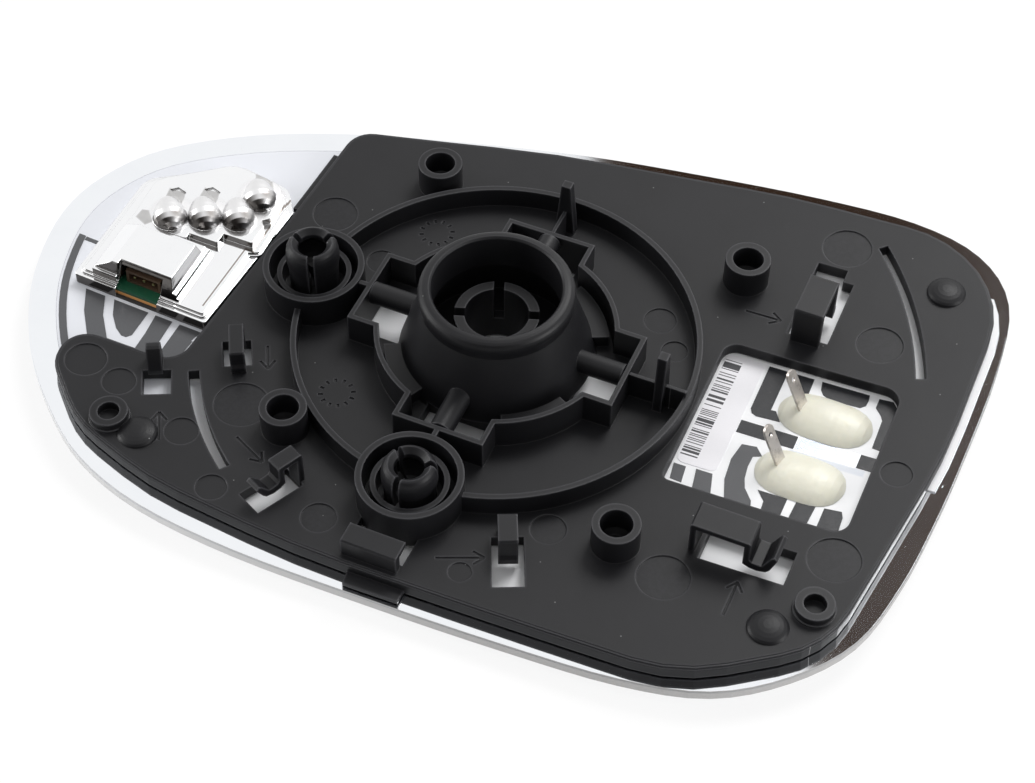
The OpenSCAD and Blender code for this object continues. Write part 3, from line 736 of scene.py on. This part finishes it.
@dataclass
class MirrorFace(Part):
    """The convex glass, its heater foil with the print, and the foam pad."""

    finishes: Dict[str, Finish] = field(default_factory=lambda: {
        "mirror_glass": SilveredGlass(),
        "heater_foil": WhiteFoil(),
        "heater_track": HeatingPrint(),
        "foam_pad": PlainPolymer("white_foam", (0.78, 0.78, 0.77), (0.9, 0.9, 0.88), 0.8, 0.5, 0.05),
    })


@dataclass
class BackPlate(Part):
    """The black moulding that clips on the motor."""

    finishes: Dict[str, Finish] = field(default_factory=lambda: {"backing_plate": BlackMoulding()})


@dataclass
class TurnSignal(Part):
    """The metallised reflector housing and what it holds."""

    finishes: Dict[str, Finish] = field(default_factory=lambda: {
        "signal_housing": Metallised(),
        "signal_board": PlainPolymer("solder_mask", (0.005, 0.06, 0.03), (0.02, 0.12, 0.06), 0.3, 0.4, 0.01),
        "signal_leds": PlainPolymer("led_resin", (0.75, 0.6, 0.25), (0.9, 0.8, 0.5), 0.2, 0.3, 0.01),
        "signal_resistors": PlainPolymer("ceramic_chip", (0.05, 0.05, 0.05), (0.12, 0.12, 0.12), 0.4, 0.1,
                                         0.005),
        "signal_connector": PlainPolymer("socket_plastic", (0.05, 0.03, 0.02), (0.12, 0.07, 0.04), 0.4, 0.2,
                                         0.01),
        "connector_pins": BrushedMetal("pin_metal", (0.8, 0.65, 0.35), (0.5, 0.4, 0.2), 0.2),
        "signal_lens": PlainPolymer("amber_lens", (0.7, 0.3, 0.08), (0.8, 0.45, 0.2), 0.35, 0.3, 0.02),
        "signal_gasket": PlainPolymer("black_rubber", (0.015, 0.015, 0.015), (0.04, 0.04, 0.04), 0.7, 0.3,
                                      0.02),
    })


@dataclass
class HeaterTerminals(Part):
    """The label, the two spade terminals and the sealant over their feet."""

    finishes: Dict[str, Finish] = field(default_factory=lambda: {
        "data_label": DataLabel(),
        "terminal_upper": BrushedMetal("tinned_blade", (0.66, 0.62, 0.58), (0.3, 0.27, 0.24), 0.24),
        "terminal_lower": BrushedMetal("tinned_blade", (0.66, 0.62, 0.58), (0.3, 0.27, 0.24), 0.24),
        "terminal_rivets": BrushedMetal("rivet_brass", (0.75, 0.6, 0.32), (0.4, 0.3, 0.15), 0.3),
        "sealant_upper": CuredSealant(),
        "sealant_lower": CuredSealant(),
    })


@dataclass
class Camera:
    """The camera, which stands where the photograph was taken."""

    focal_px: float = 2169.974
    frame_px: Tuple[int, int] = (1035, 783)
    elevation: float = 50.6597
    roll: float = -0.69098
    azimuth: float = -22.8664
    pivot_px: Point = (496.7205, 350.1504)
    distance_mm: float = 429.923
    sensor_mm: float = 36.0

    def axes(self) -> Tuple[Vector, Vector, Vector]:
        """Works out the picture's right, down and forward directions.

        Returns:
            The three directions in the part's frame.
        """
        e, r, a = (math.radians(v) for v in (self.elevation, self.roll, self.azimuth))
        forward = Vector((0.0, math.cos(e), -math.sin(e)))
        right = Vector((1.0, 0.0, 0.0))
        down = forward.cross(right)
        level = Matrix.Rotation(-a, 3, "Z")
        rolled = (math.cos(r) * right + math.sin(r) * down, math.cos(r) * down - math.sin(r) * right, forward)
        return tuple(level @ v for v in rolled)

    def place(self) -> Vector:
        """Adds the camera to the scene.

        Returns:
            Where it stands, in metres.
        """
        right, down, forward = self.axes()
        offset = [(self.pivot_px[i] - self.frame_px[i] / 2.0) / self.focal_px for i in (0, 1)]
        spot = -self.distance_mm * MM * (offset[0] * right + offset[1] * down + forward)
        data = bpy.data.cameras.new("photo_camera")
        data.sensor_width = self.sensor_mm
        data.lens = self.focal_px / self.frame_px[0] * self.sensor_mm
        data.clip_start = 0.01
        data.clip_end = 20.0
        camera = bpy.data.objects.new("photo_camera", data)
        bpy.context.scene.collection.objects.link(camera)
        turn = Matrix((right, -down, -forward)).transposed().to_4x4()
        camera.matrix_world = Matrix.Translation(spot) @ turn
        bpy.context.scene.camera = camera
        log.info("camera at %s", [round(c, 4) for c in spot])
        return spot


@dataclass
class Card:
    """A coloured card that only reflections see."""

    name: str
    colour: Colour
    corners: Sequence[Tuple[float, float, float]]
    strength: float = 1.0


@dataclass
class Lamp:
    """A soft square lamp that looks at the part, with its place in metres and its power in watts."""

    name: str
    spot: Tuple[float, float, float]
    side: float
    power: float


@dataclass
class Studio:
    """A pale floor, soft lamps, an even sky and the cards that bright metal mirrors."""

    floor_drop: float = 0.0002
    floor_side: float = 6.0
    sky: float = 0.55
    lamps: List[Lamp] = field(default_factory=lambda: [
        Lamp("key_lamp", (0.15, 0.64, 0.78), 0.45, 6.0),
        Lamp("left_lamp", (-0.8, -0.18, 0.24), 0.35, 3.0),
        Lamp("right_lamp", (0.85, 0.0, 0.24), 0.35, 3.0),
    ])
    cards: List[Card] = field(default_factory=lambda: [
        Card("brown_card", (0.034, 0.019, 0.012),
             ((-0.236, 0.576, 0.6), (-0.0325, 0.382, 0.6), (0.005, 0.382, 0.6), (0.005, 0.66, 0.6))),
        Card("dark_card", (0.035, 0.024, 0.018),
             ((-0.45, -0.75, -0.02), (0.80, -0.50, -0.02), (0.66, -0.30, 0.62), (-0.36, -0.62, 0.62))),
    ])

    def deselect(self) -> None:
        """Leaves nothing selected."""
        bpy.ops.object.select_all(action="DESELECT")

    def lit_for_view(self, board: Board, colour: Colour, share: float) -> None:
        """Ends a material that is lit, and shows its own colour to the camera and to reflections.

        Args:
            board: the material.
            colour: its colour.
            share: how much of what is seen is its own colour.
        """
        path = {n: board.node("ShaderNodeLightPath", output=n)
                for n in ("Is Camera Ray", "Is Glossy Ray", "Is Transmission Ray")}
        seen = (path["Is Camera Ray"] | path["Is Glossy Ray"]) | path["Is Transmission Ray"]
        lit = board.node("ShaderNodeBsdfDiffuse", inputs={"Color": colour})
        own = board.node("ShaderNodeEmission", inputs={"Color": colour, "Strength": 1.0})
        mixed = board.node("ShaderNodeMixShader", inputs={0: seen * share, 1: lit, 2: own})
        board.tree.links.new(mixed.socket, board.output.inputs["Surface"])

    def floor(self) -> None:
        """Lays the floor just under the glass."""
        self.deselect()
        low = cad_box[0][2] - self.floor_drop
        bpy.ops.mesh.primitive_plane_add(size=self.floor_side, location=(0.0, 0.0, low))
        floor = bpy.context.object
        floor.name = "studio_floor"
        board = Board("floor_white")
        self.lit_for_view(board, (1.0, 1.0, 1.0), 0.8)
        floor.data.materials.append(board.material)

    def card(self, card: Card) -> None:
        """Hangs one card.

        Args:
            card: its name, colour and corners.
        """
        self.deselect()
        bpy.ops.mesh.primitive_plane_add(size=1.0)
        sheet = bpy.context.object
        sheet.name = card.name
        for vertex, corner in zip((0, 1, 3, 2), card.corners):
            sheet.data.vertices[vertex].co = corner
        board = Board(card.name)
        glow = board.node("ShaderNodeEmission", inputs={"Color": card.colour, "Strength": card.strength})
        board.tree.links.new(glow.socket, board.output.inputs["Surface"])
        sheet.data.materials.append(board.material)
        for ray in ("camera", "diffuse", "transmission", "shadow", "volume_scatter"):
            setattr(sheet, "visible_" + ray, False)

    def hang(self, lamp: Lamp) -> None:
        """Hangs one lamp.

        Args:
            lamp: its name, place, size and power.
        """
        data = bpy.data.lights.new(lamp.name, "AREA")
        data.shape = "SQUARE"
        data.size = lamp.side
        data.energy = lamp.power
        hung = bpy.data.objects.new(lamp.name, data)
        hung.location = lamp.spot
        hung.rotation_euler = (-Vector(lamp.spot)).to_track_quat("-Z", "Y").to_euler()
        bpy.context.scene.collection.objects.link(hung)

    def world(self) -> None:
        """Makes the even sky, which is white to the camera and to reflections."""
        world = bpy.data.worlds.new("studio_sky")
        world.use_nodes = True
        bpy.context.scene.world = world
        tree = world.node_tree
        tree.nodes.clear()
        path = tree.nodes.new("ShaderNodeLightPath")
        seen = tree.nodes.new("ShaderNodeMath")
        seen.operation = "MAXIMUM"
        tree.links.new(path.outputs["Is Camera Ray"], seen.inputs[0])
        tree.links.new(path.outputs["Is Glossy Ray"], seen.inputs[1])
        strength = tree.nodes.new("ShaderNodeMapRange")
        strength.inputs["To Min"].default_value = self.sky
        strength.inputs["To Max"].default_value = 1.0
        tree.links.new(seen.outputs[0], strength.inputs["Value"])
        sky = tree.nodes.new("ShaderNodeBackground")
        sky.inputs["Color"].default_value = (1.0, 1.0, 1.0, 1.0)
        tree.links.new(strength.outputs[0], sky.inputs["Strength"])
        output = tree.nodes.new("ShaderNodeOutputWorld")
        tree.links.new(sky.outputs[0], output.inputs["Surface"])

    def set_up(self) -> None:
        """Sets the whole studio up."""
        self.floor()
        for card in self.cards:
            self.card(card)
        for lamp in self.lamps:
            self.hang(lamp)
        self.world()
        bpy.context.scene.view_settings.view_transform = "Standard"
        log.info("studio set up")


def main() -> None:
    """Builds the scene in order."""
    logging.basicConfig(level=logging.INFO, format="%(name)s: %(message)s")
    Camera().place()
    for part in (MirrorFace(), BackPlate(), TurnSignal(), HeaterTerminals()):
        part.dress()
    Studio().set_up()


if __name__ == "__main__":
    main()
